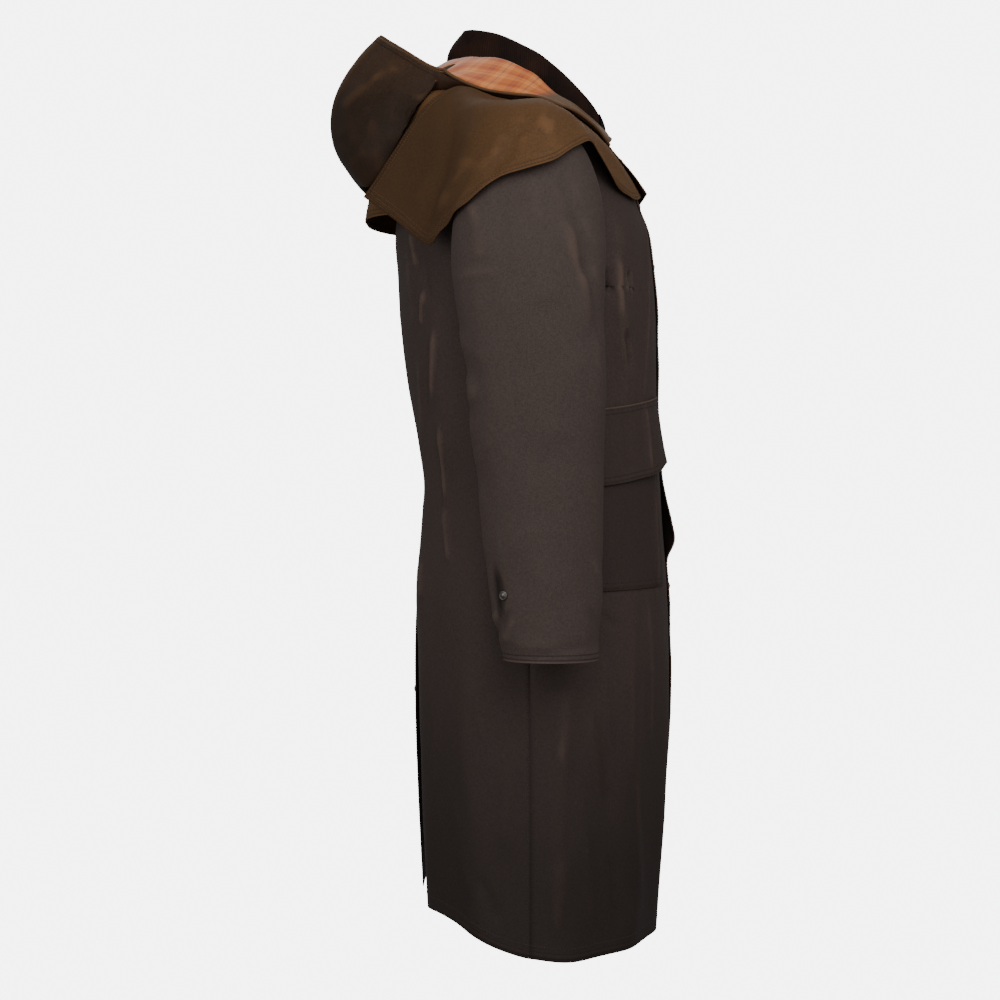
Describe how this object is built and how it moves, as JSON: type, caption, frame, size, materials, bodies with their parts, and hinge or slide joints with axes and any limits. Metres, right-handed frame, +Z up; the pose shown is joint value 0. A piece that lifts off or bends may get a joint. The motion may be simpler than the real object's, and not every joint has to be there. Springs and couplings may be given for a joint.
{
  "type": "duster coat",
  "caption": "Full-length waxed cotton duster coat, worn and hollow, with a shoulder cape, thrown-back hood, stand-up corduroy collar and rear riding vent.",
  "frame": {"origin": "middle of the shoulder line, where the wearer's shoulders hold the coat up", "axes": "+X to the coat's front, +Y to the wearer's left, +Z up"},
  "size_m": [0.4975, 0.741, 1.2927],
  "materials": {
    "waxed_cotton": "waxed, matt with a slight sheen",
    "waxed_cotton_cape": "waxed, matt with a slight sheen",
    "corduroy": "fine ribbed pile",
    "plaid_lining": "brushed cotton plaid",
    "dark_metal": "darkened, worn"
  },
  "bodies": {
    "root": {"back_left": "waxed_cotton", "back_right": "waxed_cotton", "front_left": "waxed_cotton", "front_right": "waxed_cotton", "sleeve_left": "waxed_cotton", "sleeve_right": "waxed_cotton", "storm_flap": "waxed_cotton", "pocket_flap_left": "waxed_cotton", "pocket_flap_right": "waxed_cotton", "pocket_left": "waxed_cotton", "pocket_right": "waxed_cotton", "cape_left": "waxed_cotton_cape", "cape_right": "waxed_cotton_cape", "back_yoke": "waxed_cotton_cape", "hood": "waxed_cotton_cape", "hood_edge": "waxed_cotton_cape", "collar": "corduroy", "hood_lining": "plaid_lining", "stud_front_1": "dark_metal", "stud_front_2": "dark_metal", "stud_front_3": "dark_metal", "stud_front_4": "dark_metal", "stud_front_5": "dark_metal", "stud_front_6": "dark_metal", "stud_cape_1": "dark_metal", "stud_cape_2": "dark_metal", "stud_vent": "dark_metal", "stud_cuff_left": "dark_metal", "stud_cuff_right": "dark_metal"}
  },
  "joints": []
}
